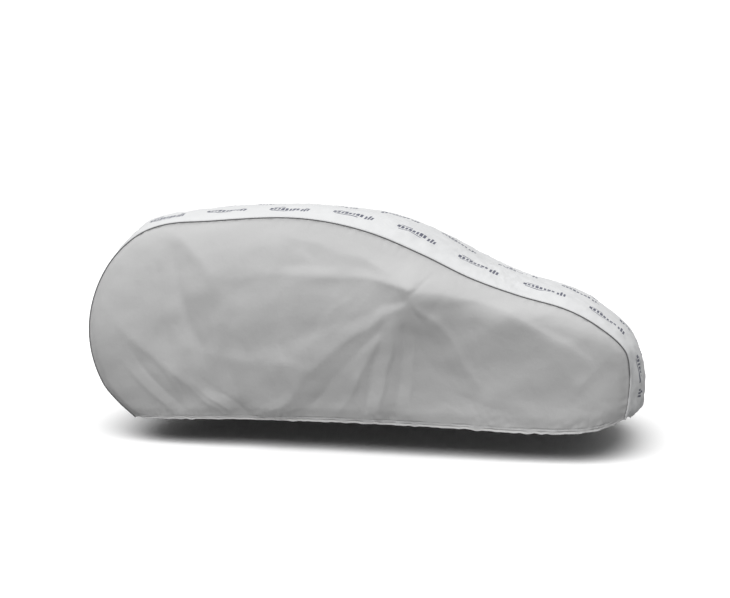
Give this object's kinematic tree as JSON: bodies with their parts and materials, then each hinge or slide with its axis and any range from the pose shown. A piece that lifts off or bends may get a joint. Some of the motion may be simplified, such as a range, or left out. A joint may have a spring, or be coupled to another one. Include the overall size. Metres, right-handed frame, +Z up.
{
  "type": "car cover",
  "caption": "Fitted cloth cover for a small hatchback: grey side panels sewn to a light strip over bonnet, roof and tail, piped along the seams, open below.",
  "frame": {"origin": "under the cloth at the highest stretch of the roof, on the cover's middle plane, where the car's roof carries it", "axes": "+X towards the car's nose, +Y to the car's left, +Z up"},
  "size_m": [3.7409, 1.7932, 1.4034],
  "materials": {
    "white_cloth": "matt near-white non-woven cloth",
    "grey_cloth": "matt mid-grey non-woven cloth with a faint sheen",
    "dark_piping": "dark grey bias tape over a thin cord"
  },
  "bodies": {
    "root": {"top_strip": "white_cloth", "side_panel_right": "grey_cloth", "side_panel_left": "grey_cloth", "seam_piping_right": "dark_piping", "seam_piping_left": "dark_piping"}
  },
  "joints": []
}
